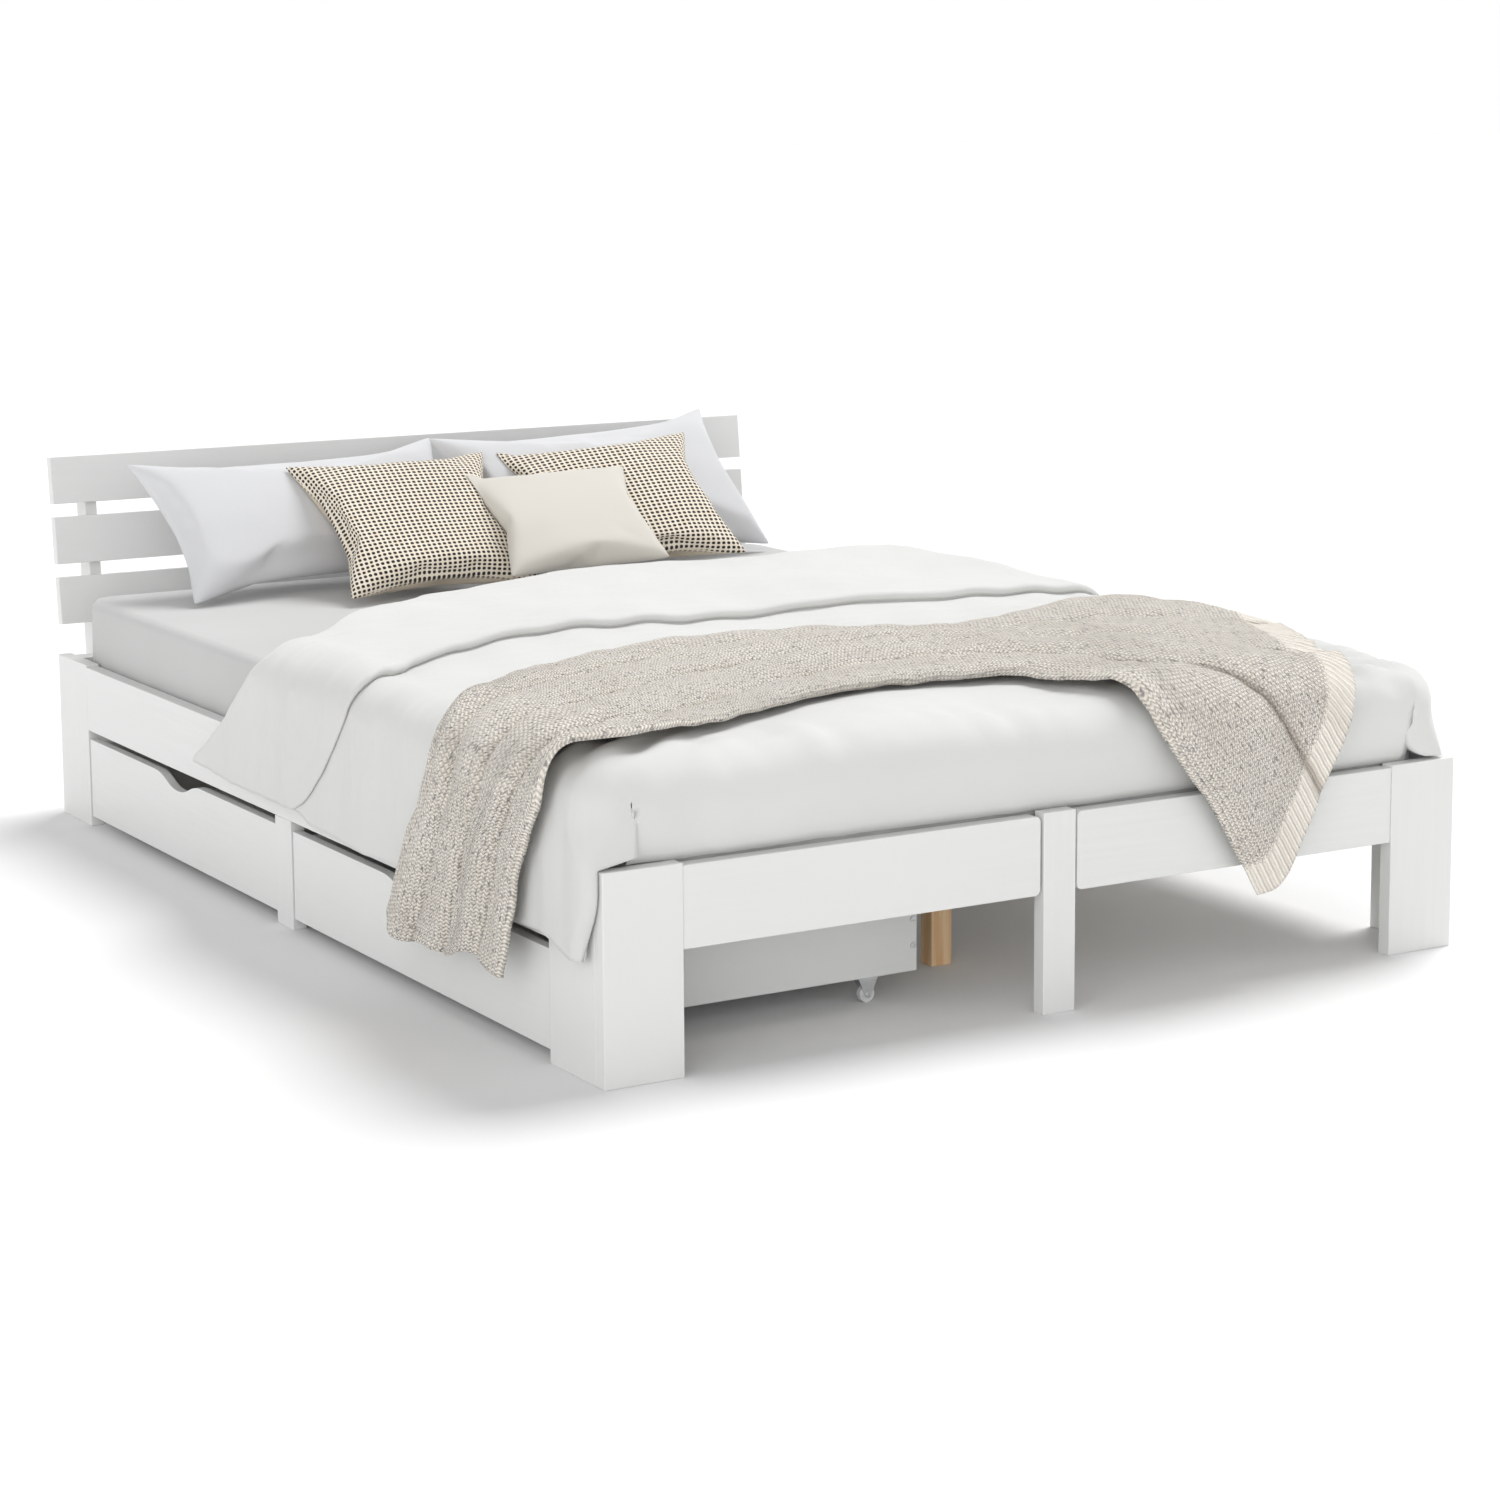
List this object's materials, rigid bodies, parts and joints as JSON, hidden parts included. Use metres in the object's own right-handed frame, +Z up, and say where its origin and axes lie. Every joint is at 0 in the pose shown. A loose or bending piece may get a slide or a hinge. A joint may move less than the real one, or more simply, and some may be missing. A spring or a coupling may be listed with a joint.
{
  "type": "platform bed with storage drawers",
  "caption": "Low white wooden double bed with a slatted leaning headboard, rolling storage drawers under one side, and made-up bedding.",
  "frame": {"origin": "floor level at the centre of the bed's outline, bedding and headboard included", "axes": "+Z up; +Y from the foot end to the headboard; +X to the right as seen from the foot end, so the drawers are on the -X side"},
  "size_m": [1.548, 2.1964, 0.6665],
  "materials": {
    "white_lacquer": "satin",
    "pine": "matte",
    "drawer_board": "satin",
    "steel": "satin",
    "wheel_plastic": "gloss",
    "sheet_cotton": "matte",
    "duvet_cotton": "matte",
    "pillow_cotton": "matte",
    "knit_wool": "matte",
    "check_weave": "matte",
    "cream_cotton": "matte"
  },
  "bodies": {
    "bed_frame": {"base_slats": "pine", "centre_beam": "pine", "centre_leg_foot_a": "pine", "centre_leg_foot_b": "pine", "centre_leg_head_a": "pine", "centre_leg_head_b": "pine", "check_cushion_left": "check_weave", "check_cushion_right": "check_weave", "duvet": "duvet_cotton", "foot_mid_leg": "white_lacquer", "foot_post_left": "white_lacquer", "foot_post_right": "white_lacquer", "foot_post_side_left": "white_lacquer", "foot_post_side_right": "white_lacquer", "foot_rail_left": "white_lacquer", "foot_rail_right": "white_lacquer", "head_post_left": "white_lacquer", "head_post_right": "white_lacquer", "head_rail": "white_lacquer", "headboard_slat_low": "white_lacquer", "headboard_slat_mid": "white_lacquer", "headboard_slat_top": "white_lacquer", "headboard_upright_left": "white_lacquer", "headboard_upright_right": "white_lacquer", "mattress": "sheet_cotton", "pillow_left": "pillow_cotton", "pillow_right": "pillow_cotton", "plain_cushion": "cream_cotton", "side_mid_leg_left": "white_lacquer", "side_mid_leg_right": "white_lacquer", "side_rail_left": "white_lacquer", "side_rail_right": "white_lacquer", "slat_ledger_left": "pine", "slat_ledger_right": "pine", "throw": "knit_wool", "throw_side_drape": "knit_wool"},
    "drawer_foot": {"caster_axles_foot": "steel", "caster_brackets_foot": "steel", "drawer_back_foot": "white_lacquer", "drawer_bottom_foot": "drawer_board", "drawer_front_foot": "white_lacquer", "drawer_screws_foot": "steel", "drawer_side_far_foot": "white_lacquer", "drawer_side_near_foot": "white_lacquer"},
    "drawer_head": {"caster_axles_head": "steel", "caster_brackets_head": "steel", "drawer_back_head": "white_lacquer", "drawer_bottom_head": "drawer_board", "drawer_front_head": "white_lacquer", "drawer_screws_head": "steel", "drawer_side_far_head": "white_lacquer", "drawer_side_near_head": "white_lacquer"},
    "wheel_foot_near_front": {"wheel_foot_near_front": "wheel_plastic"},
    "wheel_foot_near_back": {"wheel_foot_near_back": "wheel_plastic"},
    "wheel_foot_far_front": {"wheel_foot_far_front": "wheel_plastic"},
    "wheel_foot_far_back": {"wheel_foot_far_back": "wheel_plastic"},
    "wheel_head_near_front": {"wheel_head_near_front": "wheel_plastic"},
    "wheel_head_near_back": {"wheel_head_near_back": "wheel_plastic"},
    "wheel_head_far_front": {"wheel_head_far_front": "wheel_plastic"},
    "wheel_head_far_back": {"wheel_head_far_back": "wheel_plastic"}
  },
  "joints": [
    {"name": "drawer_foot_slide", "type": "slide", "parent": "bed_frame", "child": "drawer_foot", "axis": [-1, 0, 0], "range_m": [0, 0.58], "deforming": ["throw_side_drape"]},
    {"name": "drawer_head_slide", "type": "slide", "parent": "bed_frame", "child": "drawer_head", "axis": [-1, 0, 0], "range_m": [0, 0.58]},
    {"name": "wheel_foot_near_front_roll", "type": "hinge", "parent": "drawer_foot", "child": "wheel_foot_near_front", "pos_m": [-0.636, -0.87904, 0.0125], "axis": [0, -1, 0], "range_deg": [-5, 2700]},
    {"name": "wheel_foot_near_back_roll", "type": "hinge", "parent": "drawer_foot", "child": "wheel_foot_near_back", "pos_m": [-0.199, -0.87904, 0.0125], "axis": [0, -1, 0], "range_deg": [-5, 2700]},
    {"name": "wheel_foot_far_front_roll", "type": "hinge", "parent": "drawer_foot", "child": "wheel_foot_far_front", "pos_m": [-0.636, -0.09104, 0.0125], "axis": [0, -1, 0], "range_deg": [-5, 2700]},
    {"name": "wheel_foot_far_back_roll", "type": "hinge", "parent": "drawer_foot", "child": "wheel_foot_far_back", "pos_m": [-0.199, -0.09104, 0.0125], "axis": [0, -1, 0], "range_deg": [-5, 2700]},
    {"name": "wheel_head_near_front_roll", "type": "hinge", "parent": "drawer_head", "child": "wheel_head_near_front", "pos_m": [-0.636, 0.04296, 0.0125], "axis": [0, -1, 0], "range_deg": [-5, 2700]},
    {"name": "wheel_head_near_back_roll", "type": "hinge", "parent": "drawer_head", "child": "wheel_head_near_back", "pos_m": [-0.199, 0.04296, 0.0125], "axis": [0, -1, 0], "range_deg": [-5, 2700]},
    {"name": "wheel_head_far_front_roll", "type": "hinge", "parent": "drawer_head", "child": "wheel_head_far_front", "pos_m": [-0.636, 0.83096, 0.0125], "axis": [0, -1, 0], "range_deg": [-5, 2700]},
    {"name": "wheel_head_far_back_roll", "type": "hinge", "parent": "drawer_head", "child": "wheel_head_far_back", "pos_m": [-0.199, 0.83096, 0.0125], "axis": [0, -1, 0], "range_deg": [-5, 2700]}
  ],
  "couplings": [
    {"joint": "wheel_foot_near_front_roll", "follows": "drawer_foot_slide", "rad_per_m": 80},
    {"joint": "wheel_foot_near_back_roll", "follows": "drawer_foot_slide", "rad_per_m": 80},
    {"joint": "wheel_foot_far_front_roll", "follows": "drawer_foot_slide", "rad_per_m": 80},
    {"joint": "wheel_foot_far_back_roll", "follows": "drawer_foot_slide", "rad_per_m": 80},
    {"joint": "wheel_head_near_front_roll", "follows": "drawer_head_slide", "rad_per_m": 80},
    {"joint": "wheel_head_near_back_roll", "follows": "drawer_head_slide", "rad_per_m": 80},
    {"joint": "wheel_head_far_front_roll", "follows": "drawer_head_slide", "rad_per_m": 80},
    {"joint": "wheel_head_far_back_roll", "follows": "drawer_head_slide", "rad_per_m": 80}
  ]
}
